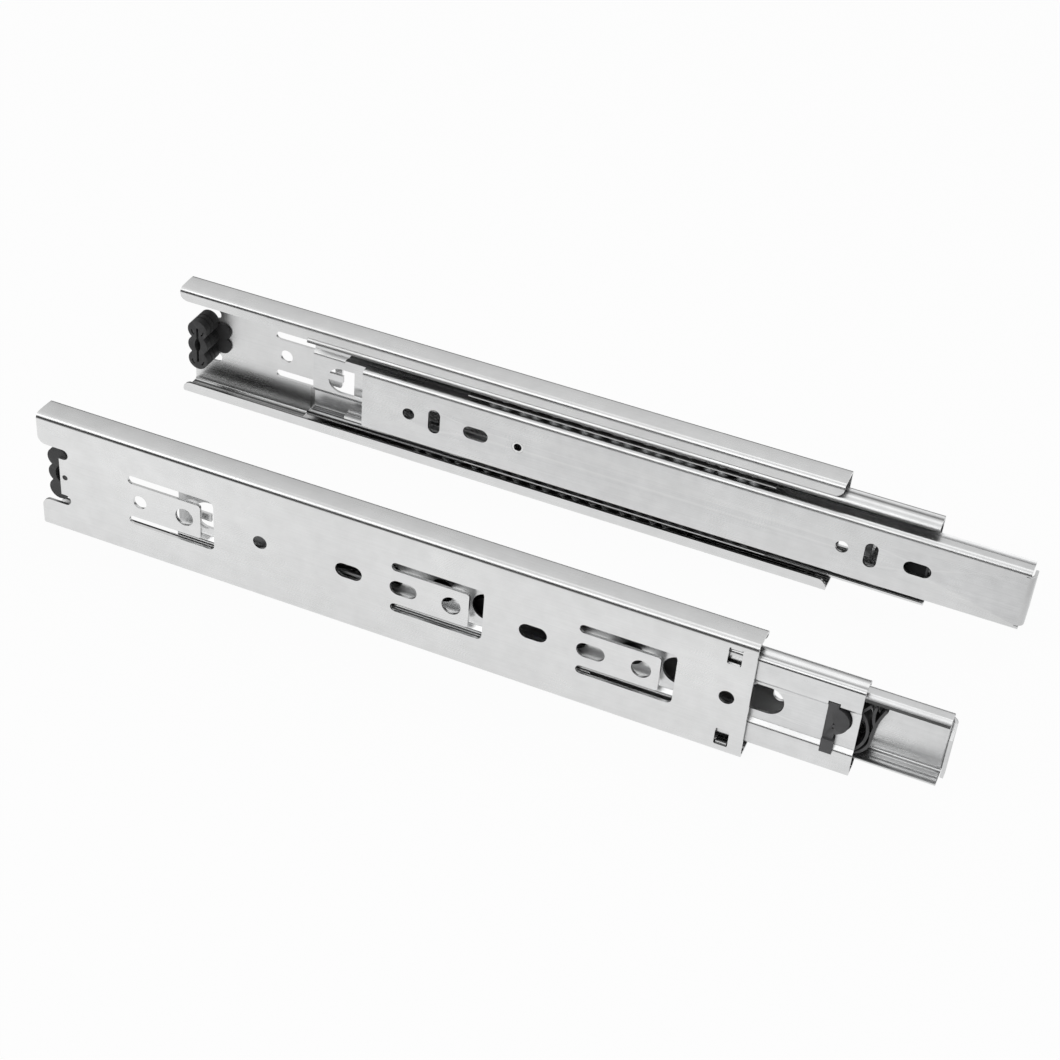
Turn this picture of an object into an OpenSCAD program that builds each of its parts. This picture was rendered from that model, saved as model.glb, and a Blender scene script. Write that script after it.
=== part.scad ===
// Pair of full-extension ball-bearing drawer slides, drawn partly open.
// Each slide lies along X and opens towards +X. In its own frame the cabinet wall is at y = 0,
// the drawer side is at y = slide_depth, and z = 0 is the middle of its height.

/* [Slide] */
// Length of the cabinet member, and of the drawer member
slide_length = 250; // [242:1:320]
// Height of the cabinet member
section_height = 45.5; // [44:0.1:56]
// Depth from the cabinet wall to the drawer side
slide_depth = 12.7; // [12.4:0.1:15.4]
// Depth of the cabinet member's flanges
flange_depth = 10.4; // [10.3:0.1:11]
// Thickness of the steel sheet of all three members
sheet = 1; // [0.8:0.05:1.2]
// Outer radius of the bends
bend_outer = 2; // [1.6:0.1:2.4]
// Distance between the two cabinet walls that the pair is laid out for
pair_spacing = 102; // [60:1:600]

/* [Positions] */
// How far both intermediate members are pulled out
mid_out = 40.5; // [0:0.5:125]
// How far the left drawer member is pulled out of its intermediate member
left_drawer_out = 18.5; // [0:0.5:125]
// How far the right drawer member is pulled out of its intermediate member
right_drawer_out = 25; // [0:0.5:125]

/* [Ball races] */
// Diameter of the balls
ball_d = 4.5; // [3.7:0.1:5]
// Running clearance between a ball and each race
ball_clearance = 0.08; // [0.05:0.01:0.12]
// Slope of the wall between the outer race and the inner race
race_slope = 22; // [16:1:26]
// Slope of the sides of the drawer member's race
drawer_race_slope = 25; // [18:1:28]
// Turn of the intermediate member's lip short of level with the inner balls
lip_end_angle = 15; // [10:1:30]
// Distance that the lip of the cabinet member reaches towards the middle
cabinet_lip = 5.1; // [4:0.1:5.5]

/* [Ball cages] */
// Thickness of the cage strip
cage_sheet = 0.35; // [0.3:0.05:0.4]
// Number of pockets in each cage strip
cage_pockets = 9; // [4:1:9]
// Distance between pockets
pocket_pitch = 11.4; // [11:0.1:13]
// Play of the balls in their pocket, all round
pocket_play = 0.2; // [0.1:0.05:0.3]
// Plain strip beyond the last pocket
cage_end = 5; // [2:0.5:8]
// Plain strip behind the outer cage's last pocket
outer_cage_tail = 42.4; // [10:0.1:45]

/* [Cabinet member] */
// Distances of the mounting tabs' screw holes from the front end
tab_screws = [35, 99, 195]; // one entry for each tab
// Length of the cut round a mounting tab
tab_cut_length = 32; // [30:0.5:36]
// Height over the cut round a mounting tab
tab_cut_height = 19.6; // [18:0.2:20]
// Width of the cut round a mounting tab
tab_cut_width = 3.2; // [2:0.1:3.6]
// Distance from a tab's screw hole to the end of the cut
tab_screw_to_end = 11; // [9:0.5:13]
// Gap in front of a tab's tip
tab_tip_gap = 5; // [3:0.5:7]
// Distance from a tab's screw hole back to the hole at its root
tab_root_back = 16.7; // [14:0.1:18]
// Diameter of the screw holes in the tabs
tab_screw_d = 6.6; // [5:0.1:7]
// Diameter of the plain screw holes
small_hole_d = 5; // [4:0.1:5.5]
// Length of the screw slots in the cabinet member
screw_slot_length = 9.5; // [8:0.5:11]
// Height of the screw slots in the cabinet member
screw_slot_height = 5.5; // [4.5:0.1:6]
// Distance of the stop windows from the front end
stop_window_back = 4.5; // [4:0.5:8]
// Distance of the cabinet member's hole nearest its front end from that end
front_hole_back = 7.3; // [6:0.1:10]

/* [Intermediate member] */
// Shortness of the intermediate member against the slide length
mid_shorter = 18; // [14:1:24]
// Gap between the cabinet web and the intermediate member
web_gap = 1; // [1:0.05:1.2]
// Depth of the raised middle of the intermediate member's web
mid_step = 1.4; // [1:0.1:1.5]
// Height of the raised middle of the intermediate member's web
mid_step_height = 14.6; // [13.4:0.2:15.4]
// Length of the two front openings in the intermediate member's web
mid_window_length = 39; // [30:1:44]
// Height of the openings in the intermediate member's web
mid_window_height = 10.2; // [8:0.2:11]
// Distance between the two front openings in the intermediate member's web
mid_window_pitch = 64; // [56:1:70]
// Diameter of the access hole behind each of these openings
mid_access_d = 8.5; // [6:0.5:9]
// Distance of each access hole's middle behind its opening
mid_access_back = 10.5; // [8:0.5:11]

/* [Drawer member] */
// Straight edge of the drawer member's flanges past their race
drawer_edge = 0.2; // [0.1:0.1:0.6]
// Shortness of the drawer member's flanges against its front tab
drawer_flange_short = 1.5; // [0.5:0.1:3]
// Cut-back of the drawer member's web at the rear
drawer_web_back = 8.2; // [8:0.1:12]
// Width of the front tab, from the drawer side
front_tab_depth = 6.5; // [5:0.1:7]
// Gap between the front tab and each flange
front_tab_gap = 0.3; // [0.2:0.1:1]
// Distance of the first rear screw hole from the rear end
rear_holes_back = 26.5; // [22:0.5:40]
// Distance of the first front screw hole from the front end
front_holes_back = 37.5; // [34:0.5:60]
// Distance of the lever's rivet from the rear end
rivet_back = 68.7; // [64:0.1:90]
// Diameter of the drawer member's screw holes, and height of its level slots
drawer_hole_d = 4.6; // [4:0.1:5.2]

/* [Plastic and rubber] */
// Height of the rear bumper
bumper_height = 20.4; // [18:0.2:20.6]
// Width of the rear bumper along the slide
bumper_width = 7.8; // [7:0.1:8]
// Length of the release lever forward of its rivet
lever_reach = 36; // [30:1:36]
// Diameter of the lever's rivet
rivet_d = 4.5; // [3:0.1:5]
// Reach of the front buffer beyond the intermediate member
buffer_reach = 7.1; // [5.5:0.1:7.5]

/* [Hidden] */

$fn = 48;
arc_step = 12;  // largest turn between two points of a bend
over = 1;       // how far a cut runs past what it cuts

zinc = "#c9cccf";
bright_zinc = "#b7bbbf";
ball_steel = "#d9dde0";
rubber_black = "#232324";
plastic_grey = "#4a4b4d";

half_sheet = sheet / 2;
bend_mid = bend_outer - half_sheet;
half_height = section_height / 2;
ball_r = ball_d / 2;

// Races, as centre lines of the sheet round the balls
race_r = ball_r + ball_clearance + half_sheet;
outer_ball_z = half_height - sheet - ball_clearance - ball_r;
inner_ball_z = outer_ball_z - 2 * race_r * cos(race_slope);
mid_depth = flange_depth - 0.5;                      // outermost y of the intermediate member
inner_ball_y = mid_depth - half_sheet - race_r;
outer_ball_y = inner_ball_y - 2 * race_r * sin(race_slope);

// Intermediate member
mid_band_y = sheet + web_gap + half_sheet;
mid_web_y = mid_band_y + mid_step;
mid_bend = 0.9;                                      // centre-line radius of the small bends
mid_step_run = 1.5;                                  // height over which the web steps back
mid_length = slide_length - mid_shorter;
mid_rear_closed = 10.6;
mid_shoulder_y = mid_band_y + mid_bend;
mid_shoulder_z = outer_ball_z - sqrt(pow(race_r + mid_bend, 2) - pow(outer_ball_y - mid_shoulder_y, 2));
mid_window_z = 1.1;                                  // height of the openings' middle line
mid_window_front_back = 23.3;                        // from the front end to the front opening
mid_rear_window = [6, 81.6];                         // start and end, from the rear end
mid_hook = [7, 2.8];                                 // tongue at the start of the rear opening

// Cage strips
outer_leg_y = sheet + web_gap / 2;
outer_cage_edge_y = flange_depth - sheet - 0.9;
outer_leg_drop = 10;
outer_cage_closed = 28.25;
inner_leg_y = mid_band_y + half_sheet + 0.45;
inner_cage_edge_y = slide_depth - 1.5;
inner_leg_drop = 2.6;
inner_cage_closed = 62;
cage_bend = 0.6;
pocketed_length = cage_pockets * pocket_pitch + cage_end;
ball_gap = 0.1;                                      // between the two balls of a pocket
pocket_length = 2 * ball_d + ball_gap + 2 * pocket_play;

// Drawer member
drawer_web_y = slide_depth - half_sheet;
drawer_race_z = inner_ball_z - race_r;
drawer_race_vertex = drawer_race_z - race_r * (1 / cos(drawer_race_slope) - 1);
drawer_crest_z = drawer_race_z + 0.46;
drawer_crest_y = inner_ball_y + (drawer_crest_z - drawer_race_vertex) / tan(drawer_race_slope);
drawer_end_y = inner_ball_y - race_r * sin(drawer_race_slope) - drawer_edge;
drawer_end_z = drawer_race_vertex + (inner_ball_y - drawer_end_y) * tan(drawer_race_slope);
drawer_rear_closed = 1.2;
front_bend = 2.5;                                    // outer radius of the front tab's bend
hole_group = 10;                                     // round hole to upright slot
slot_group = 26;                                     // round hole to level slot
front_group = [0, -16, -26];                         // level slot, upright slot and round hole
drawer_slot_length = 9.5;
drawer_slot_height = drawer_hole_d + 0.5;
upright_slot_length = 9.8;

// Lever, rivet and catch
rivet_clearance = 0.06;
lever_y = [drawer_web_y - half_sheet - 4.4, drawer_web_y - half_sheet - 0.15];
lever_hub_d = 9.5;
catch_back = 20.9;                                   // catch of the intermediate member, from its front end
catch_z = 2.2;
catch_size = [1, 3.6, 3.4];

// Where the pieces are at rest
front_end = drawer_rear_closed + mid_out + right_drawer_out + slide_length;
left = 0;
right = 1;
drawer_out = [left_drawer_out, right_drawer_out];

function reversed(points) = [for (i = [len(points) - 1:-1:0]) points[i]];
function mirrored(points) = [for (p = points) [p.x, -p.y]];
function unit(v) = v / norm(v);
function left_of(v) = [-v.y, v.x];

// Points of an arc about a centre, from one angle to another
function arc(centre, radius, from, to, step = arc_step) =
    let (steps = max(1, ceil(abs(to - from) / step)))
    [for (i = [0:steps]) let (a = from + (to - from) * i / steps) centre + radius * [cos(a), sin(a)]];

// Points of a rounded corner between its two neighbours
function corner(before, at, after, radius) =
    let (u = unit(before - at), v = unit(after - at), half = acos(u * v) / 2,
         centre = at + unit(u + v) * radius / sin(half),
         from = at + u * radius / tan(half) - centre,
         turn = (180 - 2 * half) * sign(u.y * v.x - u.x * v.y),
         start = atan2(from.y, from.x))
    arc(centre, radius, start, start + turn);

// Outline of a bent sheet about its centre line
function sheet_outline(line, thickness) =
    let (last = len(line) - 1,
         sides = [for (i = [0:last])
                  let (a = left_of(unit(line[max(i, 1)] - line[max(i, 1) - 1])),
                       b = left_of(unit(line[min(i, last - 1) + 1] - line[min(i, last - 1)])),
                       m = unit(a + b))
                  m * thickness / 2 / (m * a)])
    concat([for (i = [0:last]) line[i] + sides[i]], reversed([for (i = [0:last]) line[i] - sides[i]]));

// A section that is the same above and below the middle
function whole_section(upper_half) = sheet_outline(concat(reversed(mirrored(upper_half)), upper_half), sheet);

// Extrudes a (y, z) section along X
module along_x(from, to) {
    translate([from, 0, 0]) rotate([90, 0, 90]) linear_extrude(to - from) children();
}

// Extrudes an (x, z) outline along Y
module along_y(from, to) {
    translate([0, to, 0]) rotate([90, 0, 0]) linear_extrude(to - from) children();
}

module slot_outline(length, height) {
    straight = length - height;
    square([straight, height], center = true);
    for (side = [-1, 1]) translate([side * straight / 2, 0]) circle(d = height);
}

// Rectangle with round corners, from one corner to the opposite one
module rounded_box(from, to, radius) {
    size = to - from;
    translate(from + [radius, 0]) square([size.x - 2 * radius, size.y]);
    translate(from + [0, radius]) square([size.x, size.y - 2 * radius]);
    for (x = [from.x + radius, to.x - radius], z = [from.y + radius, to.y - radius]) translate([x, z]) circle(radius);
}

// What a round corner leaves off, for a corner that points to +x and +z
module corner_waste(radius) {
    difference() {
        translate([-radius, -radius]) square([radius + over, radius + over]);
        translate([-radius, -radius]) circle(radius);
        translate([-2 * radius, -radius]) square([radius, radius + 2 * over]);
        translate([-radius, -2 * radius]) square([radius + 2 * over, radius]);
    }
}

/* Cabinet member */

cabinet_crease_y = 5;
cabinet_crease_drop = 0.3;
cabinet_edge_y = flange_depth - half_sheet;
cabinet_edge_z = half_height - half_sheet - cabinet_crease_drop;
cabinet_lip_z = half_height - cabinet_lip;
cabinet_corner = [half_sheet, half_height - half_sheet];
cabinet_crease = [cabinet_crease_y, half_height - half_sheet];
cabinet_edge = [cabinet_edge_y, cabinet_edge_z];
cabinet_upper_half = concat(
    corner([half_sheet, 0], cabinet_corner, cabinet_crease, bend_mid),
    [cabinet_crease],
    corner(cabinet_crease, cabinet_edge, [cabinet_edge_y, cabinet_lip_z], bend_mid),
    [[cabinet_edge_y, cabinet_lip_z]]);

notch_depth = 7.7;        // of the rear notch, up to its tongue
notch_slot_depth = 11.3;  // of the two slots beside the tongue
notch_height = 22.6;
notch_tongue = 14.6;
notch_corner = 3;
lip_corner = 3;
nib_x = 9.6;              // hole of the tongue that holds the bumper
nib_d = 1.8;
plain_hole_back = 167;
plain_slots_back = [71, 135];
stop_window = [4.5, 6.4];
stop_window_z = half_height - 6.45;
stop_tab = 2.6;           // how far a stop tab stands into the channel

module tab_cut(screw_x) {
    cut_end = screw_x + tab_screw_to_end;
    cut_start = cut_end - tab_cut_length;
    slot_z = (tab_cut_height - tab_cut_width) / 2;
    tip = cut_end - tab_tip_gap;
    tongue = tab_cut_height / 2 - tab_cut_width;
    slot_span = tab_cut_length - 1;
    for (side = [-1, 1]) {
        translate([cut_start + slot_span / 2, side * slot_z]) slot_outline(slot_span, tab_cut_width);
        translate([tip, side * tongue]) scale([1, side]) corner_waste(1);
    }
    rounded_box([tip, -tab_cut_height / 2], [cut_end, tab_cut_height / 2], 2);
    translate([screw_x, 0]) circle(d = tab_screw_d);
}

module rear_notch() {
    translate([-over, -notch_tongue / 2]) square([over + notch_depth, notch_tongue]);
    for (side = [-1, 1]) scale([1, side]) {
        slot_height = (notch_height - notch_tongue) / 2;
        slot_z = (notch_height + notch_tongue) / 4;
        translate([-over, slot_z - slot_height / 2]) square([over + notch_slot_depth - slot_height / 2, slot_height]);
        translate([notch_slot_depth - slot_height / 2, slot_z]) circle(d = slot_height);
        translate([0, notch_height / 2]) scale([-1, -1]) corner_waste(notch_corner);
    }
    translate([nib_x, 0]) circle(d = nib_d + 0.2);
}

module cabinet_web_cuts() {
    rear_notch();
    for (back = tab_screws) tab_cut(slide_length - back);
    for (back = tab_screws) translate([slide_length - back - tab_root_back, 0])
        if (back == max(tab_screws)) circle(d = small_hole_d);
        else slot_outline(screw_slot_length, screw_slot_height);
    for (back = plain_slots_back) translate([slide_length - back, 0]) slot_outline(screw_slot_length, screw_slot_height);
    for (back = [front_hole_back, plain_hole_back]) translate([slide_length - back, 0]) circle(d = small_hole_d);
    window_x = slide_length - stop_window_back;
    for (side = [-1, 1]) scale([1, side])
        rounded_box([window_x - stop_window.x, stop_window_z - stop_window.y / 2],
                    [window_x, stop_window_z + stop_window.y / 2], 0.6);
}

// Small tabs bent in from the windows, where the outer cage stops
module stop_tabs() {
    window_x = slide_length - stop_window_back;
    top = stop_window_z + stop_window.y / 2 + 0.05;
    for (side = [-1, 1]) scale([1, 1, side])
        translate([window_x - stop_window.x + 0.5, half_sheet, top - 0.9])
            cube([stop_window.x - 1, half_sheet + stop_tab, 0.9]);
}

module lip_corners() {
    for (side = [-1, 1], end = [0, 1])
        translate([end * slide_length, 0, 0]) scale([2 * end - 1, 1, 1])
            along_y(flange_depth - bend_outer, flange_depth + over)
                scale([1, side]) translate([0, cabinet_lip_z]) scale([1, -1]) corner_waste(lip_corner);
}

module cabinet_member() {
    color(zinc) {
        difference() {
            along_x(0, slide_length) polygon(whole_section(cabinet_upper_half));
            along_y(-over, sheet + over) cabinet_web_cuts();
            lip_corners();
        }
        stop_tabs();
    }
}

/* Rear bumper */

bumper_middle_x = 6.5;
bumper_root_y = sheet + 0.05;
bumper_face_y = flange_depth - 0.1;
bumper_lobe_r = bumper_width / 2;
bumper_lobe_z = bumper_height / 2 - bumper_lobe_r;
bumper_slit = [0.9, 14.5];       // width and height
bumper_slit_depth = 4;
bumper_eye = [2.4, 6.2];         // pointed hole through the middle lobe
bumper_grooves_y = [4.8, 7.2];
bumper_groove = [0.4, 0.35];     // width and depth
bumper_foot_x = 15.5;            // how far the foot reaches along the web
bumper_foot_r = 3.4;
bumper_foot_y = sheet + web_gap - 0.1;

module bumper_lobes(inset) {
    for (z = [-bumper_lobe_z, 0, bumper_lobe_z]) translate([0, z]) circle(bumper_lobe_r - inset);
    square([bumper_width - 2.8 - 2 * inset, 2 * bumper_lobe_z], center = true);
}

// Where the two sides of the slit are pushed apart
module bumper_eye_outline() {
    radius = (pow(bumper_eye.x, 2) + pow(bumper_eye.y, 2)) / (4 * bumper_eye.x);
    intersection() {
        translate([bumper_eye.x / 2 - radius, 0]) circle(radius);
        translate([radius - bumper_eye.x / 2, 0]) circle(radius);
    }
}

module bumper_crescents() {
    for (z = [-bumper_lobe_z, bumper_lobe_z], start = [5, 125]) translate([0, z])
        ring_sector(bumper_lobe_r * 0.62, 0.5, start, start + 50);
}

module bumper_foot_outline() {
    for (side = [-1, 1]) translate([bumper_foot_x - bumper_foot_r, side * bumper_foot_r * 0.85]) circle(bumper_foot_r);
    translate([bumper_middle_x, -bumper_foot_r * 1.5])
        square([bumper_foot_x - bumper_foot_r - bumper_middle_x, bumper_foot_r * 3]);
}

module rear_bumper() {
    color(rubber_black) {
        translate([bumper_middle_x, 0, 0]) difference() {
            along_y(bumper_root_y, bumper_face_y) bumper_lobes(0);
            along_y(0, slide_depth) bumper_eye_outline();
            along_y(bumper_face_y - bumper_slit_depth, slide_depth) slot_outline_upright(bumper_slit.y, bumper_slit.x);
            along_y(bumper_face_y - 1, slide_depth) bumper_crescents();
            for (y = bumper_grooves_y) along_y(y - bumper_groove.x / 2, y + bumper_groove.x / 2) difference() {
                square([bumper_width + 2 * over, bumper_height + 2 * over], center = true);
                bumper_lobes(bumper_groove.y);
            }
        }
        difference() {
            along_y(bumper_root_y, bumper_foot_y) bumper_foot_outline();
            translate([bumper_middle_x, 0, 0]) along_y(0, slide_depth) bumper_eye_outline();
        }
        translate([nib_x, bumper_root_y + 0.1, 0]) rotate([90, 0, 0]) cylinder(d = nib_d, h = sheet);
    }
}

module slot_outline_upright(length, width) {
    rotate(90) slot_outline(length, width);
}

/* Ball cages and balls */

// Angled strip with oblong pockets, for the balls at (ball_y, ball_z)
module ball_cage(ball_y, ball_z, leg_y, leg_drop, edge_y, tail) {
    line = concat([[leg_y, ball_z - leg_drop]],
                  corner([leg_y, ball_z - leg_drop], [leg_y, ball_z], [edge_y, ball_z], cage_bend),
                  [[edge_y, ball_z]]);
    difference() {
        along_x(0, tail + pocketed_length) polygon(sheet_outline(line, cage_sheet));
        for (i = [0:cage_pockets - 1])
            translate([tail + (i + 0.5) * pocket_pitch, ball_y, ball_z - over])
                linear_extrude(2 * over) slot_outline(pocket_length, ball_d + 2 * pocket_play);
    }
}

// Two balls in each pocket
module ball_row(ball_y, ball_z, tail) {
    for (i = [0:cage_pockets - 1], side = [-1, 1])
        translate([tail + (i + 0.5) * pocket_pitch + side * (ball_d + ball_gap) / 2, ball_y, ball_z])
            sphere(d = ball_d);
}

module outer_cage() {
    color(bright_zinc) translate([outer_cage_closed + mid_out / 2, 0, 0])
        ball_cage(outer_ball_y, outer_ball_z, outer_leg_y, outer_leg_drop, outer_cage_edge_y, outer_cage_tail);
}

module outer_balls() {
    color(ball_steel) translate([outer_cage_closed + mid_out / 2, 0, 0])
        ball_row(outer_ball_y, outer_ball_z, outer_cage_tail);
}

module inner_cage(side) {
    color(bright_zinc) translate([inner_cage_closed + mid_out + drawer_out[side] / 2, 0, 0])
        ball_cage(inner_ball_y, inner_ball_z, inner_leg_y, inner_leg_drop, inner_cage_edge_y, cage_end);
}

module inner_balls(side) {
    color(ball_steel) translate([inner_cage_closed + mid_out + drawer_out[side] / 2, 0, 0])
        ball_row(inner_ball_y, inner_ball_z, cage_end);
}

/* Intermediate member */

mid_plateau = [mid_web_y, mid_step_height / 2];
mid_band_start = [mid_band_y, mid_step_height / 2 + mid_step_run];
mid_shoulder = [mid_shoulder_y, mid_shoulder_z];
shoulder_angle = atan2(outer_ball_z - mid_shoulder_z, outer_ball_y - mid_shoulder_y);
mid_upper_half = concat(
    corner([mid_web_y, 0], mid_plateau, mid_band_start, 0.8),
    corner(mid_plateau, mid_band_start, [mid_band_y, mid_shoulder_z], 0.8),
    arc(mid_shoulder, mid_bend, 180, shoulder_angle),
    arc([outer_ball_y, outer_ball_z], race_r, shoulder_angle + 180 + arc_step / 3, 270 + race_slope),
    arc([inner_ball_y, inner_ball_z], race_r, 90 + race_slope - arc_step, lip_end_angle));

clip_back = 7.7;          // clip's middle line, from the front end
clip_play = 0.3;          // gap between the clip and its opening

module mid_web_cuts() {
    window_end = mid_length - mid_window_front_back;
    for (i = [0, 1]) translate([window_end - mid_window_length - i * mid_window_pitch, 0]) {
        translate([mid_window_length / 2, mid_window_z]) slot_outline(mid_window_length, mid_window_height);
        translate([-mid_access_back, mid_window_z + 0.9]) circle(d = mid_access_d);
    }
    difference() {
        translate([(mid_rear_window[0] + mid_rear_window[1]) / 2, mid_window_z])
            slot_outline(mid_rear_window[1] - mid_rear_window[0], mid_window_height);
        translate([mid_rear_window[0] - over, mid_window_z - mid_hook.y / 2 - 0.9]) square(mid_hook);
    }
}

module mid_catch() {
    translate([mid_length - catch_back, mid_web_y, catch_z])
        cube([catch_size.x, half_sheet + catch_size.y, catch_size.z]);
}

module intermediate_member() {
    color(zinc) translate([mid_rear_closed + mid_out, 0, 0]) {
        difference() {
            along_x(0, mid_length) polygon(whole_section(mid_upper_half));
            along_y(mid_band_y + half_sheet, mid_web_y + over) mid_web_cuts();
            translate([mid_length - clip_back, 0, 0]) along_y(sheet, mid_web_y + over) clip_outline(clip_play);
        }
        mid_catch();
    }
}

/* Front buffer */

buffer_leaf = 0.9;
buffer_half = 9.9;               // half of its height
buffer_wall_x = 6.4;             // wall that carries the leaves, forward of the clip's middle line
buffer_bow_x = clip_back + buffer_reach - 3.3;
clip_body = [[-2.3, -4.8], [0.9, 9.6]];
clip_disc = [-0.2, 2.8];
clip_disc_r = 5.1;
clip_face_y = sheet + web_gap - 0.1;
hook_face_y = sheet + 0.25;
hook = [[-2.4, -9.8], [1.5, -4.6]];
hook_step_z = -6.5;              // where the hook rises out of the web's middle
base_y = [mid_web_y + half_sheet + 0.05, mid_web_y + half_sheet + 2];
leaf_y = [mid_web_y + half_sheet + 0.8, slide_depth - 2.2];
bow_step = 4;

module ring_sector(radius, width, from, to) {
    outer = radius + width / 2;
    inner = radius - width / 2;
    polygon(concat(arc([0, 0], outer, from, to), arc([0, 0], inner, to, from)));
}

module clip_outline(play) {
    size = clip_body[1] - clip_body[0];
    translate(clip_body[0] - [play, play]) square(size + 2 * [play, play]);
    intersection() {
        translate(clip_disc + [0, play]) circle(clip_disc_r + 2 * play);
        translate([0, clip_disc.y - 2 * clip_disc_r]) square([2 * clip_disc_r, 4 * clip_disc_r]);
    }
}

module buffer_clip() {
    difference() {
        along_y(clip_face_y, base_y[0] + 0.1) clip_outline(0);
        for (z = [0.1, 1.7]) translate([0.3, 0, z]) along_y(clip_face_y - over, clip_face_y + 0.3) circle(0.3);
    }
    along_y(hook_face_y, mid_band_y - half_sheet - 0.05) translate(hook[0]) square(hook[1] - hook[0]);
    along_y(hook_face_y, mid_web_y - half_sheet - 0.05)
        translate([hook[0].x, hook_step_z]) square([hook[1].x - hook[0].x, hook[1].y - hook_step_z]);
}

module buffer_leaves() {
    outer_bow = concat(arc([buffer_bow_x - 7.4, -3], 7.4, -66, -8, bow_step),
                       arc([buffer_bow_x + 30, -3], 30, 180, 154.5, bow_step));
    inner_bow = arc([buffer_wall_x - 7.2, -1], 11, -50, 46, bow_step);
    rear_arm = arc([buffer_bow_x + 12, 7.3], 12.5, 204, 167, bow_step);
    short_arm = [[buffer_wall_x + 0.5, 6.2], [buffer_wall_x + 3.3, 10]];
    for (line = [outer_bow, inner_bow, rear_arm, short_arm]) polygon(reversed(sheet_outline(line, buffer_leaf)));
}

module front_buffer() {
    color(plastic_grey) translate([mid_rear_closed + mid_out + mid_length - clip_back, 0, 0]) {
        buffer_clip();
        along_y(base_y[0], base_y[1])
            translate([clip_body[0].x - 0.6, -buffer_half]) square([buffer_wall_x + 0.4 - clip_body[0].x, 2 * buffer_half]);
        along_y(base_y[0], leaf_y[1]) translate([buffer_wall_x, -buffer_half]) square([0.8, 2 * buffer_half]);
        along_y(leaf_y[0], leaf_y[1]) buffer_leaves();
    }
}

/* Drawer member */

drawer_corner = [drawer_web_y, drawer_crest_z];
drawer_crest = [drawer_crest_y, drawer_crest_z];
drawer_vertex = [inner_ball_y, drawer_race_vertex];
drawer_end = [drawer_end_y, drawer_end_z];
drawer_upper_half = concat(
    corner([drawer_web_y, 0], drawer_corner, drawer_crest, bend_mid),
    corner(drawer_corner, drawer_crest, drawer_vertex, 0.8),
    corner(drawer_crest, drawer_vertex, drawer_end, race_r),
    [drawer_end]);

module upright_slot() {
    slot_outline_upright(upright_slot_length, drawer_hole_d);
}

module drawer_web_cuts() {
    front_cut = front_tab_half + front_tab_gap;
    translate([-over, -half_height]) square([over + drawer_web_back, section_height]);
    translate([front_tab_start, -front_cut]) square([front_bend + half_sheet + over, 2 * front_cut]);
    translate([rear_holes_back, 0]) circle(d = drawer_hole_d);
    translate([rear_holes_back + hole_group, 0]) upright_slot();
    translate([rear_holes_back + slot_group, 0]) slot_outline(drawer_slot_length, drawer_slot_height);
    translate([slide_length - front_holes_back, 0]) {
        translate([front_group[0], 0]) slot_outline(drawer_slot_length, drawer_slot_height);
        translate([front_group[1], 0]) upright_slot();
        translate([front_group[2], 0]) circle(d = drawer_hole_d);
    }
    translate([rivet_back, 0]) circle(d = rivet_d + 0.04);
}

front_tab_start = slide_length - front_bend - half_sheet;
front_tab_half = drawer_crest_z + half_sheet - bend_outer - front_tab_gap;
front_tab_corner = [4.3, 3.9];   // cut off the tab's upper corner, along its width and height
front_tab_chamfer = [1, 1];      // cut off its lower corner

// Cuts a corner off the front tab, over its upper half
module front_tab_waste(corner) {
    edge_y = slide_depth - front_tab_depth;
    along_x(front_tab_start, slide_length + over) translate([edge_y, front_tab_half]) scale(corner)
        polygon([[-1, -2], [2, 1], [-1, 1]]);
}

// Tab at the front end, bent towards the cabinet wall
module front_tab() {
    bend_start = front_tab_start - 0.4;
    line = concat([[bend_start, drawer_web_y]],
                  corner([bend_start, drawer_web_y], [slide_length - half_sheet, drawer_web_y],
                         [slide_length - half_sheet, slide_depth - front_tab_depth], front_bend - half_sheet),
                  [[slide_length - half_sheet, slide_depth - front_tab_depth]]);
    difference() {
        translate([0, 0, -front_tab_half])
            linear_extrude(2 * front_tab_half) polygon(sheet_outline(line, sheet));
        front_tab_waste(front_tab_corner);
        lower() front_tab_waste(front_tab_chamfer);
    }
}

module drawer_member(side) {
    color(zinc) translate([drawer_rear_closed + mid_out + drawer_out[side], 0, 0]) {
        difference() {
            along_x(0, slide_length - drawer_flange_short) polygon(whole_section(drawer_upper_half));
            along_y(drawer_web_y - bend_outer, slide_depth + over) drawer_web_cuts();
        }
        front_tab();
    }
}

/* Release lever and its rivet */

lever_bar = [-4.2, -0.6];    // lower and upper edge of the bar
lever_nose = [26.5, 4.2];    // tip of the nose that catches at full pull
lever_pad_r = 4;

module lever_outline() {
    pad_x = lever_reach - lever_pad_r - 1;
    circle(d = lever_hub_d);
    translate([0, lever_bar[0]]) square([pad_x, lever_bar[1] - lever_bar[0]]);
    polygon([[lever_nose.x - 9, lever_bar[0] + 1], [lever_nose.x, lever_bar[0] + 1], lever_nose]);
    translate([pad_x, -3]) circle(lever_pad_r);
    rotate(195) translate([2, -0.6]) square([26, 1.2]);
}

module release_lever(side) {
    color(rubber_black) translate([drawer_rear_closed + mid_out + drawer_out[side] + rivet_back, 0, 0])
        along_y(lever_y[0], lever_y[1]) difference() {
            lever_outline();
            circle(d = rivet_d + 2 * rivet_clearance);
        }
}

module lever_rivet(side) {
    head = [7, 0.6];
    shank_y = lever_y[0] - 0.1;
    color(bright_zinc)
        translate([drawer_rear_closed + mid_out + drawer_out[side] + rivet_back, shank_y, 0])
            rotate([-90, 0, 0]) difference() {
                union() {
                    translate([0, 0, -head.y]) cylinder(d = head.x, h = head.y);
                    cylinder(d = rivet_d, h = slide_depth - shank_y);
                }
                translate([0, 0, -over]) cylinder(d = rivet_d - 1.6, h = slide_depth + over);
            }
}

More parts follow.
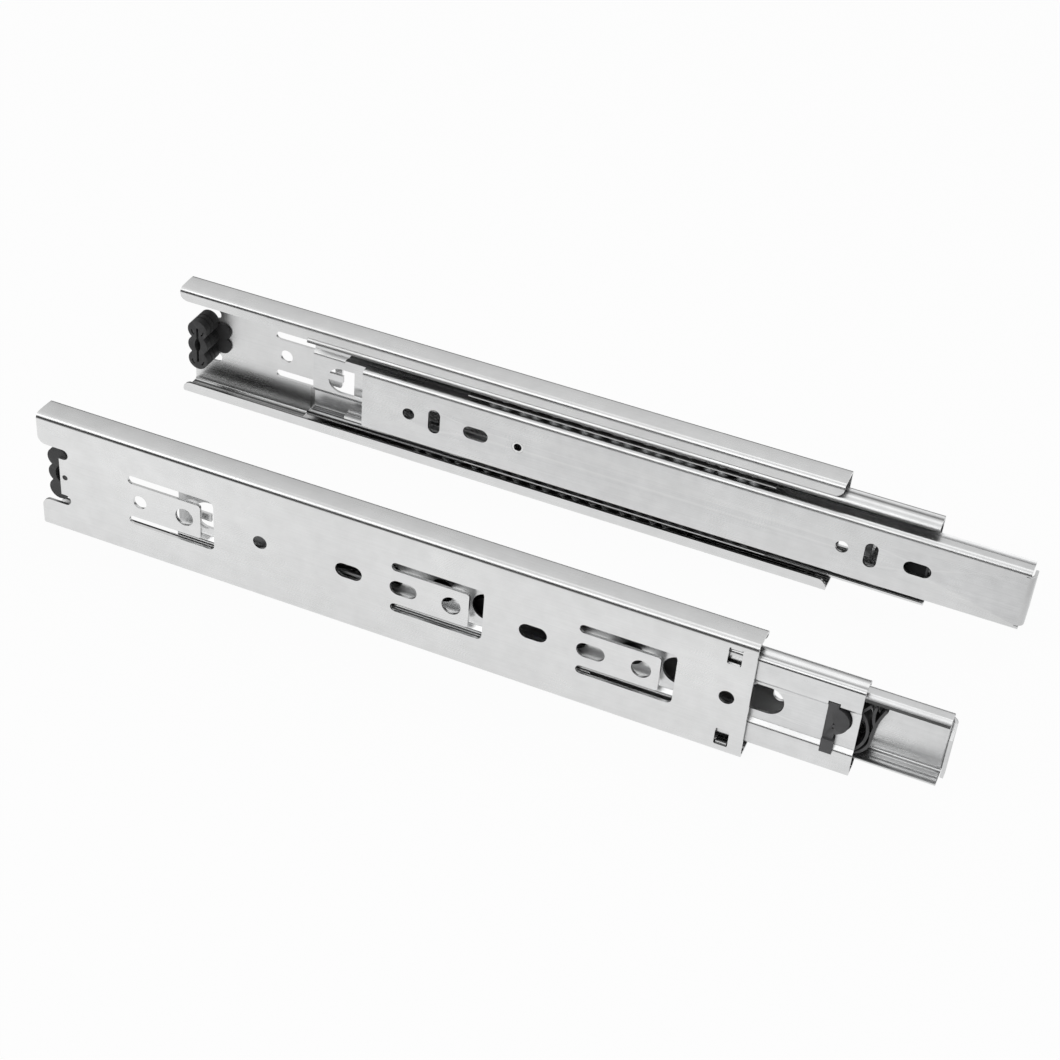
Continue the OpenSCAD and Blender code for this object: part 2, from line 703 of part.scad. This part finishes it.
// Places a slide's piece on the left or on the right, the right slide turned over about X
module on_side(side) {
    translate([-front_end / 2, (2 * side - 1) * pair_spacing / 2, half_height]) rotate([180 * side, 0, 0]) children();
}

// The lower half of a pair of pieces that mirror each other
module lower() {
    mirror([0, 0, 1]) children();
}

on_side(left) cabinet_member();  // left_cabinet_member
on_side(left) rear_bumper();  // left_rear_bumper
on_side(left) outer_cage();  // left_outer_cage_upper
on_side(left) lower() outer_cage();  // left_outer_cage_lower
on_side(left) outer_balls();  // left_outer_balls_upper
on_side(left) lower() outer_balls();  // left_outer_balls_lower
on_side(left) intermediate_member();  // left_intermediate_member
on_side(left) front_buffer();  // left_front_buffer
on_side(left) inner_cage(left);  // left_inner_cage_upper
on_side(left) lower() inner_cage(left);  // left_inner_cage_lower
on_side(left) inner_balls(left);  // left_inner_balls_upper
on_side(left) lower() inner_balls(left);  // left_inner_balls_lower
on_side(left) drawer_member(left);  // left_drawer_member
on_side(left) release_lever(left);  // left_release_lever
on_side(left) lever_rivet(left);  // left_lever_rivet
on_side(right) cabinet_member();  // right_cabinet_member
on_side(right) rear_bumper();  // right_rear_bumper
on_side(right) lower() outer_cage();  // right_outer_cage_upper
on_side(right) outer_cage();  // right_outer_cage_lower
on_side(right) lower() outer_balls();  // right_outer_balls_upper
on_side(right) outer_balls();  // right_outer_balls_lower
on_side(right) intermediate_member();  // right_intermediate_member
on_side(right) front_buffer();  // right_front_buffer
on_side(right) lower() inner_cage(right);  // right_inner_cage_upper
on_side(right) inner_cage(right);  // right_inner_cage_lower
on_side(right) lower() inner_balls(right);  // right_inner_balls_upper
on_side(right) inner_balls(right);  // right_inner_balls_lower
on_side(right) drawer_member(right);  // right_drawer_member
on_side(right) release_lever(right);  // right_release_lever
on_side(right) lever_rivet(right);  // right_lever_rivet
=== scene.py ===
# Pair of drawer slides: materials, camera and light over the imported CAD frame. Metres throughout.
import math

import bpy
from mathutils import Matrix, Vector


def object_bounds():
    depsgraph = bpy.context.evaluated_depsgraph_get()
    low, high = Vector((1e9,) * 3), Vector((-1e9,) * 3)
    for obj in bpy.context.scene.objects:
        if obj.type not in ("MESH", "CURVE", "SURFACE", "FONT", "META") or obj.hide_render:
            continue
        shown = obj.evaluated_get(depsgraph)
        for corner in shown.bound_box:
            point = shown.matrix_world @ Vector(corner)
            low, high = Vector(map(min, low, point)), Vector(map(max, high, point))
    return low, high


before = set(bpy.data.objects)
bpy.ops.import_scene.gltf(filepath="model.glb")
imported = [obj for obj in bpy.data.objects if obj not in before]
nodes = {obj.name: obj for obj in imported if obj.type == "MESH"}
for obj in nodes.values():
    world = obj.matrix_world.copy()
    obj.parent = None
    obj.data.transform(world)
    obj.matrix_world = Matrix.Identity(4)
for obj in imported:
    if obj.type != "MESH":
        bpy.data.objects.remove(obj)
cad_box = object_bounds()
scene = bpy.context.scene

box_low, box_high = (Vector(corner) for corner in cad_box)
MID_HEIGHT = (box_low.z + box_high.z) / 2       # of both slides

# ---------------------------------------------------------------- camera

AZIMUTH = math.radians(19.8228)
ELEVATION = math.radians(37.4323)
ROLL = math.radians(5.2608)
AIM_RIGHT = 0.1634411         # from the left slide's rear end to the middle of the view
AIM_UP = -0.0201517
DISTANCE = 0.6895637
LENS = 70.162                 # in mm, for this sensor
SENSOR_WIDTH = 36.0
CLIP_START, CLIP_END = 0.01, 20.0

back = Vector((math.sin(AZIMUTH) * math.cos(ELEVATION),
               -math.cos(AZIMUTH) * math.cos(ELEVATION),
               math.sin(ELEVATION)))
level = Vector((math.cos(AZIMUTH), math.sin(AZIMUTH), 0.0))
upright = back.cross(level)
right = level * math.cos(ROLL) + upright * math.sin(ROLL)
up = upright * math.cos(ROLL) - level * math.sin(ROLL)
rear_end = Vector((box_low.x, box_low.y, MID_HEIGHT))
eye = rear_end + AIM_RIGHT * right + AIM_UP * up + DISTANCE * back

camera_data = bpy.data.cameras.new("camera")
camera_data.lens = LENS
camera_data.sensor_width = SENSOR_WIDTH
camera_data.clip_start = CLIP_START
camera_data.clip_end = CLIP_END
camera = bpy.data.objects.new("camera", camera_data)
camera.matrix_world = Matrix((
    (right.x, up.x, back.x, eye.x),
    (right.y, up.y, back.y, eye.y),
    (right.z, up.z, back.z, eye.z),
    (0.0, 0.0, 0.0, 1.0)))
scene.collection.objects.link(camera)
scene.camera = camera

# ---------------------------------------------------------------- node helpers


def tree_of(owner):
    """The emptied node tree of a material or a world."""
    owner.use_nodes = True
    tree = owner.node_tree
    tree.nodes.clear()
    return tree


def add(tree, kind, **settings):
    made = tree.nodes.new(kind)
    for key, value in settings.items():
        setattr(made, key, value)
    return made


def link(tree, source, output, target, socket):
    tree.links.new(source.outputs[output], target.inputs[socket])


def feed(tree, target, socket, value):
    """Links a (node, output) pair to the socket, or sets the socket to a plain value."""
    if isinstance(value, tuple) and isinstance(value[0], bpy.types.Node):
        link(tree, *value, target, socket)
    else:
        target.inputs[socket].default_value = value


def calc(tree, operation, *operands):
    made = add(tree, "ShaderNodeMath", operation=operation)
    for index, operand in enumerate(operands):
        feed(tree, made, index, operand)
    return made


def blend(tree, kind, amount, first, second):
    made = add(tree, "ShaderNodeMixRGB", blend_type=kind)
    feed(tree, made, "Fac", amount)
    feed(tree, made, "Color1", first)
    feed(tree, made, "Color2", second)
    return made


def noise(tree, source, detail, scale=1.0, roughness=0.5):
    made = add(tree, "ShaderNodeTexNoise")
    feed(tree, made, "Scale", scale)
    feed(tree, made, "Detail", detail)
    feed(tree, made, "Roughness", roughness)
    feed(tree, made, "Vector", source)
    return made


def mapping(tree, place, scale, location=(0.0, 0.0, 0.0)):
    made = add(tree, "ShaderNodeMapping")
    feed(tree, made, "Location", location)
    feed(tree, made, "Scale", scale)
    link(tree, place, "Object", made, "Vector")
    return made


def rescale(tree, source, start=0.0, end=1.0, low=0.0, high=1.0):
    """Turns start..end into low..high, and holds still outside."""
    made = add(tree, "ShaderNodeMapRange")
    feed(tree, made, "From Min", start)
    feed(tree, made, "From Max", end)
    feed(tree, made, "To Min", low)
    feed(tree, made, "To Max", high)
    feed(tree, made, "Value", source)
    return made


def bump(tree, source, strength, distance):
    made = add(tree, "ShaderNodeBump")
    feed(tree, made, "Strength", strength)
    feed(tree, made, "Distance", distance)
    feed(tree, made, "Height", source)
    return made


def ramp(tree, source, stops):
    """A colour ramp through (position, colour) stops."""
    made = tree.nodes.new("ShaderNodeValToRGB")
    elements = made.color_ramp.elements
    while len(elements) > 1:
        elements.remove(elements[-1])
    elements[0].position, elements[0].color = stops[0]
    for position, color in stops[1:]:
        elements.new(position).color = color
    feed(tree, made, "Fac", source)
    return made


def grey(value):
    return (value, value, value, 1.0)


def greys(*stops):
    return [(position, grey(value)) for position, value in stops]


def toned(tint, gain, lift=0.0):
    """A tint made lighter or darker, as a full colour."""
    return tuple(min(1.0, channel * gain + lift) for channel in tint) + (1.0,)


def mix_shaders(tree, amount, first, second):
    made = add(tree, "ShaderNodeMixShader")
    feed(tree, made, "Fac", amount)
    feed(tree, made, 1, first)
    feed(tree, made, 2, second)
    return made


# ---------------------------------------------------------------- materials

# Texture scales, per metre.
STREAKS_ACROSS = 2600.0
# Scales of the painted bright streaks in the channels' painted shade.
SHADE_STREAKS_ALONG, SHADE_STREAKS_ACROSS = 3.0, 1300.0
CLOUDS, BROAD_CLOUDS = 160.0, 28.0
GRAIN, PATCHES = 2400.0, 220.0

STREAK_DEPTH = 0.00003
DENT_DEPTH = 0.0002
GRAIN_DEPTH = 0.00004

# A painted highlight: sharp edges are made lighter.
EDGE_HIGHLIGHT = (0.93, 0.93, 0.92, 1.0)
EDGE_HIGHLIGHT_SHARE = 0.35
STREAK_ROUGHNESS = 0.12

# The painted channel shade starts at the first value and is full at the second.
SHADE_TURN = (-0.1, -0.35)           # how far the normal leans away from the middle line
SHADE_AWAY = (0.0105, 0.012)         # distance from the slide's middle line

LIGHT_PATCH, DARK_PATCH = 1.35, 0.75
RUBBED_GAIN, RUBBED_LIFT = 2.2, 0.02

# Samples for finding the edges that get the painted highlight.
GLINT_SAMPLES = 8


def new_material(name):
    """A material's node tree, with its Principled shader linked to the output."""
    material = bpy.data.materials.new(name)
    tree = tree_of(material)
    out = add(tree, "ShaderNodeOutputMaterial")
    shader = add(tree, "ShaderNodeBsdfPrincipled")
    link(tree, shader, "BSDF", out, "Surface")
    return material, tree, shader


def painted_channel_shade(tree, place, geometry, below):
    """Paints shade on the faces that look into the channels, broken by painted bright streaks that
    stand in for reflections.
    """
    apart = add(tree, "ShaderNodeSeparateXYZ")
    link(tree, place, "Object", apart, "Vector")
    facing = add(tree, "ShaderNodeSeparateXYZ")
    link(tree, geometry, "Normal", facing, "Vector")
    height = calc(tree, "SUBTRACT", (apart, "Z"), MID_HEIGHT)
    half = calc(tree, "SIGN", (height, "Value"))
    outward = calc(tree, "MULTIPLY", (half, "Value"), (facing, "Z"))
    turned = rescale(tree, (outward, "Value"), *SHADE_TURN)
    away = calc(tree, "ABSOLUTE", (height, "Value"))
    outer = rescale(tree, (away, "Value"), *SHADE_AWAY)
    shade_mask = calc(tree, "MULTIPLY", (turned, "Result"), (outer, "Result"))

    stretch = mapping(tree, place, (SHADE_STREAKS_ALONG, SHADE_STREAKS_ACROSS, SHADE_STREAKS_ACROSS))
    shade_streaks = noise(tree, (stretch, "Vector"), detail=3.0, roughness=0.6)
    # Painted shade on the inward faces, with painted bright streaks standing in for reflections.
    shade_and_glints = ramp(tree, (shade_streaks, "Fac"), greys((0.4, 0.05), (0.48, 0.12), (0.54, 0.28), (0.6, 0.95)))
    return blend(tree, "MULTIPLY", (shade_mask, "Value"), (below, "Color"), (shade_and_glints, "Color"))


def steel(name, tint, rough, streak, mottle, along=18.0, channel_shade=False):
    """Plated or polished steel: streaks along X, cloudy patches, a painted highlight along sharp
    edges.
    """
    material, tree, shader = new_material(name)
    feed(tree, shader, "Metallic", 1.0)
    feed(tree, shader, "Anisotropic", 0.35)
    place = add(tree, "ShaderNodeTexCoord")
    geometry = add(tree, "ShaderNodeNewGeometry")

    stretch = mapping(tree, place, (along, STREAKS_ACROSS, STREAKS_ACROSS))
    streaks = noise(tree, (stretch, "Vector"), detail=4.0, roughness=0.6)
    clouds = noise(tree, (place, "Object"), detail=6.0, scale=CLOUDS, roughness=0.62)
    broad = noise(tree, (place, "Object"), detail=3.0, scale=BROAD_CLOUDS)

    cloud_color = ramp(tree, (clouds, "Fac"), [
        (0.3, toned(tint, 1.0 - mottle)),
        (0.62, toned(tint, 1.0)),
        (0.85, toned(tint, 1.0 + mottle * 0.5))])
    streak_color = ramp(tree, (streaks, "Fac"), greys((0.3, 1.0 - streak), (0.7, 1.0)))
    both = blend(tree, "MULTIPLY", 1.0, (cloud_color, "Color"), (streak_color, "Color"))

    # Painted highlight: sharp edges lighter.
    edge_glint = ramp(tree, (geometry, "Pointiness"), greys((0.5, 0.0), (0.58, 1.0)))
    edge_glint_amount = calc(tree, "MULTIPLY", (edge_glint, "Color"), EDGE_HIGHLIGHT_SHARE)
    color = blend(tree, "MIX", (edge_glint_amount, "Value"), (both, "Color"), EDGE_HIGHLIGHT)
    # The channel faces get painted shade and painted bright streaks.
    if channel_shade:
        color = painted_channel_shade(tree, place, geometry, color)
    link(tree, color, "Color", shader, "Base Color")

    rough_clouds = rescale(tree, (broad, "Fac"), start=0.3, end=0.75,
                           low=rough - 0.05, high=rough + 0.07)
    roughness = calc(tree, "MULTIPLY_ADD",
                     (streaks, "Fac"), STREAK_ROUGHNESS, (rough_clouds, "Result"))
    link(tree, roughness, "Value", shader, "Roughness")

    ridges = bump(tree, (streaks, "Fac"), strength=0.18, distance=STREAK_DEPTH)
    dents = bump(tree, (broad, "Fac"), strength=0.1, distance=DENT_DEPTH)
    link(tree, ridges, "Normal", dents, "Normal")
    link(tree, dents, "Normal", shader, "Normal")
    return material


def glint_rimmed(name, flat, rim_glint, rough, radius):
    """Sheet steel, darker on its faces, with a painted highlight along its punched edges."""
    material, tree, shader = new_material(name)
    feed(tree, shader, "Metallic", 1.0)
    feed(tree, shader, "Roughness", rough)
    rounded = add(tree, "ShaderNodeBevel", samples=GLINT_SAMPLES)
    feed(tree, rounded, "Radius", radius)
    geometry = add(tree, "ShaderNodeNewGeometry")
    turn = add(tree, "ShaderNodeVectorMath", operation="DOT_PRODUCT")
    link(tree, rounded, "Normal", turn, 0)
    link(tree, geometry, "Normal", turn, 1)
    # Painted highlight where the rounded normal turns away from the true one, at punched edges.
    glint_edge = ramp(tree, (turn, "Value"), [(0.9, rim_glint), (0.985, flat)])
    link(tree, glint_edge, "Color", shader, "Base Color")
    return material


def moulded(name, color, rough, grain, sheen=0.0):
    """Moulded plastic or rubber: fine grain, slight shade changes, paler rubbed edges."""
    material, tree, shader = new_material(name)
    feed(tree, shader, "Sheen Weight", sheen)
    feed(tree, shader, "Sheen Roughness", 0.5)
    place = add(tree, "ShaderNodeTexCoord")
    geometry = add(tree, "ShaderNodeNewGeometry")
    fine = noise(tree, (place, "Object"), detail=3.0, scale=GRAIN)
    patches = noise(tree, (place, "Object"), detail=4.0, scale=PATCHES)

    tone = ramp(tree, (patches, "Fac"), [
        (0.3, toned(color, DARK_PATCH)), (0.7, toned(color, LIGHT_PATCH))])
    rubbed = ramp(tree, (geometry, "Pointiness"), greys((0.5, 0.0), (0.6, 0.5)))
    pale = toned(color, RUBBED_GAIN, RUBBED_LIFT)
    edged = blend(tree, "MIX", (rubbed, "Color"), (tone, "Color"), pale)
    link(tree, edged, "Color", shader, "Base Color")

    spread = rescale(tree, (patches, "Fac"), low=rough - 0.08, high=rough + 0.1)
    link(tree, spread, "Result", shader, "Roughness")
    grained = bump(tree, (fine, "Fac"), strength=grain, distance=GRAIN_DEPTH)
    link(tree, grained, "Normal", shader, "Normal")
    return material


# The zinc's channel faces carry painted shade and painted bright streaks.
zinc = steel("zinc_sheet", (0.8, 0.805, 0.81), rough=0.23, streak=0.09, mottle=0.1,
             channel_shade=True)
# The cages' bright punched edges are a painted highlight.
cage_steel = glint_rimmed("cage_steel", flat=grey(0.48), rim_glint=grey(0.97), rough=0.3, radius=0.0004)
rivet_steel = steel("rivet_steel", (0.92, 0.92, 0.92), rough=0.12, streak=0.06, mottle=0.05,
                    along=900.0)
ball_steel = steel("ball_steel", (0.8, 0.81, 0.82), rough=0.09, streak=0.0, mottle=0.02,
                   along=900.0)
rubber = moulded("black_rubber", (0.028, 0.028, 0.029), rough=0.5, grain=0.25, sheen=0.15)
grey_plastic = moulded("grey_plastic", (0.062, 0.062, 0.064), rough=0.42, grain=0.18)
black_plastic = moulded("black_plastic", (0.014, 0.014, 0.015), rough=0.4, grain=0.18)

MATERIAL_OF = {
    "cabinet_member": zinc, "intermediate_member": zinc, "drawer_member": zinc,
    "rear_bumper": rubber, "front_buffer": grey_plastic, "release_lever": black_plastic,
    "lever_rivet": rivet_steel}

# ---------------------------------------------------------------- edges and shading

EDGE_ROUNDING = 0.00012
CAGE_ROUNDING = 0.00005
WELD_DISTANCE = 0.000002
ROUNDED_FROM = math.radians(38.0)
SHARP_FROM = math.radians(50.0)
NORMAL_WEIGHT = 60


def smooth_group(angle):
    """Smooth faces, with edges sharper than the angle kept sharp."""
    group = bpy.data.node_groups.new("smooth_faces", "GeometryNodeTree")
    for way in ("INPUT", "OUTPUT"):
        group.interface.new_socket("Geometry", in_out=way, socket_type="NodeSocketGeometry")
    entry = group.nodes.new("NodeGroupInput")
    leave = group.nodes.new("NodeGroupOutput")
    faces = add(group, "GeometryNodeSetShadeSmooth", domain="FACE")
    edges = add(group, "GeometryNodeSetShadeSmooth", domain="EDGE")
    edges.inputs["Shade Smooth"].default_value = False
    fold = group.nodes.new("GeometryNodeInputMeshEdgeAngle")
    sharp = add(group, "FunctionNodeCompare", data_type="FLOAT", operation="GREATER_THAN")
    sharp.inputs["B"].default_value = angle
    link(group, entry, "Geometry", faces, "Geometry")
    link(group, faces, "Geometry", edges, "Geometry")
    link(group, fold, "Unsigned Angle", sharp, "A")
    link(group, sharp, "Result", edges, "Selection")
    link(group, edges, "Geometry", leave, "Geometry")
    return group


SMOOTH = smooth_group(SHARP_FROM)


def soften(piece, width):
    """Rounds a piece's edges by a hair and shades it smoothly."""
    weld = piece.modifiers.new("weld", "WELD")
    weld.merge_threshold = WELD_DISTANCE
    if width > 0.0:
        bevel = piece.modifiers.new("bevel", "BEVEL")
        bevel.width = width
        bevel.segments = 2
        bevel.limit_method = "ANGLE"
        bevel.angle_limit = ROUNDED_FROM
        bevel.use_clamp_overlap = True
        bevel.miter_outer = "MITER_SHARP"
    smooth = piece.modifiers.new("smooth", "NODES")
    smooth.node_group = SMOOTH
    normals = piece.modifiers.new("normals", "WEIGHTED_NORMAL")
    normals.keep_sharp = True
    normals.weight = NORMAL_WEIGHT


for name, piece in nodes.items():
    kind = name.split("_", 1)[1]
    if "cage" in kind:
        material, width = cage_steel, CAGE_ROUNDING
    elif "balls" in kind:
        material, width = ball_steel, 0.0
    else:
        material, width = MATERIAL_OF[kind], EDGE_ROUNDING
    piece.data.materials.clear()
    piece.data.materials.append(material)
    soften(piece, width)

# ---------------------------------------------------------------- floor

FLOOR_REACH = 6.0
PAPER = grey(0.86)
CAMERA_WHITE = 0.95                 # the rest shows the slides' shadow
POOL_OFFSET = (0.015, 0.0, 0.0)
POOL_SHAPE = (0.25, 1.0, 1.0)       # four times as long as it is wide
FADE_START, FADE_END = -0.2, 0.3    # along X

floor_mesh = bpy.data.meshes.new("floor")
ways = ((-1, -1), (1, -1), (1, 1), (-1, 1))
corners = [(x * FLOOR_REACH, y * FLOOR_REACH, 0.0) for x, y in ways]
floor_mesh.from_pydata(corners, [], [(0, 1, 2, 3)])
floor = bpy.data.objects.new("floor", floor_mesh)
scene.collection.objects.link(floor)
floor_material = bpy.data.materials.new("floor")
tree = tree_of(floor_material)
out = add(tree, "ShaderNodeOutputMaterial")
rays = add(tree, "ShaderNodeLightPath")
place = add(tree, "ShaderNodeTexCoord")
paper = add(tree, "ShaderNodeBsdfDiffuse")
feed(tree, paper, "Color", PAPER)
white = add(tree, "ShaderNodeEmission")
feed(tree, white, "Strength", 1.0)

# Metal sees a bright pool round the slides, dark far off and dimmer towards their front ends.
squeeze = mapping(tree, place, POOL_SHAPE, POOL_OFFSET)
distance = add(tree, "ShaderNodeVectorMath", operation="LENGTH")
link(tree, squeeze, "Vector", distance, "Vector")
pool = ramp(tree, (distance, "Value"), greys(
    (0.0, 0.85), (0.05, 0.87), (0.095, 0.98), (0.12, 0.98), (0.14, 0.62), (0.165, 0.2),
    (0.3, 0.06), (0.8, 0.04)))
axes = add(tree, "ShaderNodeSeparateXYZ")
link(tree, place, "Object", axes, "Vector")
along = rescale(tree, (axes, "X"), FADE_START, FADE_END)
fade = ramp(tree, (along, "Result"), greys(
    (0.1, 1.0), (0.4, 0.97), (0.66, 0.96), (0.74, 0.78), (0.82, 0.6), (1.0, 0.55)))
dimmed = blend(tree, "MULTIPLY", 1.0, (pool, "Color"), (fade, "Color"))
glow = add(tree, "ShaderNodeEmission")
feed(tree, glow, "Strength", 1.0)
link(tree, dimmed, "Color", glow, "Color")

mirrored = mix_shaders(tree, (rays, "Is Glossy Ray"), (paper, "BSDF"), (glow, "Emission"))
seen = calc(tree, "MULTIPLY", (rays, "Is Camera Ray"), CAMERA_WHITE)
shown = mix_shaders(tree, (seen, "Value"), (mirrored, "Shader"), (white, "Emission"))
link(tree, shown, "Shader", out, "Surface")
floor_mesh.materials.append(floor_material)

# ---------------------------------------------------------------- world and lamps

SIDE_TURN = 0.35                    # of the direction's Y, from the front sky to the back sky

world = bpy.data.worlds.new("studio")
scene.world = world
tree = tree_of(world)
out = add(tree, "ShaderNodeOutputWorld")
rays = add(tree, "ShaderNodeLightPath")
around = add(tree, "ShaderNodeTexCoord")
parts = add(tree, "ShaderNodeSeparateXYZ")
link(tree, around, "Generated", parts, "Vector")
height = rescale(tree, (parts, "Z"), -1.0, 1.0)
front_sky = ramp(tree, (height, "Result"), greys(
    (0.47, 0.04), (0.6, 0.04), (0.8, 0.07), (0.86, 0.5), (0.92, 1.0), (0.97, 0.8), (1.0, 0.66)))
back_sky = ramp(tree, (height, "Result"), greys(
    (0.5, 0.08), (0.64, 0.2), (0.76, 0.7), (0.84, 0.78), (0.95, 0.72), (1.0, 0.66)))
side = rescale(tree, (parts, "Y"), -SIDE_TURN, SIDE_TURN)
side.interpolation_type = "SMOOTHSTEP"
sky = blend(tree, "MIX", (side, "Result"), (front_sky, "Color"), (back_sky, "Color"))
room = add(tree, "ShaderNodeBackground")
link(tree, sky, "Color", room, "Color")
backdrop = add(tree, "ShaderNodeBackground")
feed(tree, backdrop, "Color", grey(1.0))
feed(tree, backdrop, "Strength", 1.0)
shown = mix_shaders(tree, (rays, "Is Camera Ray"), (room, "Background"), (backdrop, "Background"))
link(tree, shown, "Shader", out, "Surface")


def lamp(name, place, aim, size, power):
    data = bpy.data.lights.new(name, "AREA")
    data.shape = "RECTANGLE"
    data.size, data.size_y = size
    data.energy = power
    made = bpy.data.objects.new(name, data)
    made.location = place
    made.rotation_euler = (Vector(aim) - Vector(place)).to_track_quat("-Z", "Y").to_euler()
    scene.collection.objects.link(made)


lamp("key", place=(-0.5, -1.3, 1.1), aim=(0.0, 0.0, 0.02), size=(1.6, 0.8), power=6.0)
lamp("top", place=(0.2, 0.4, 1.8), aim=(0.0, 0.0, 0.0), size=(1.4, 1.0), power=2.6)

scene.view_settings.view_transform = "Standard"
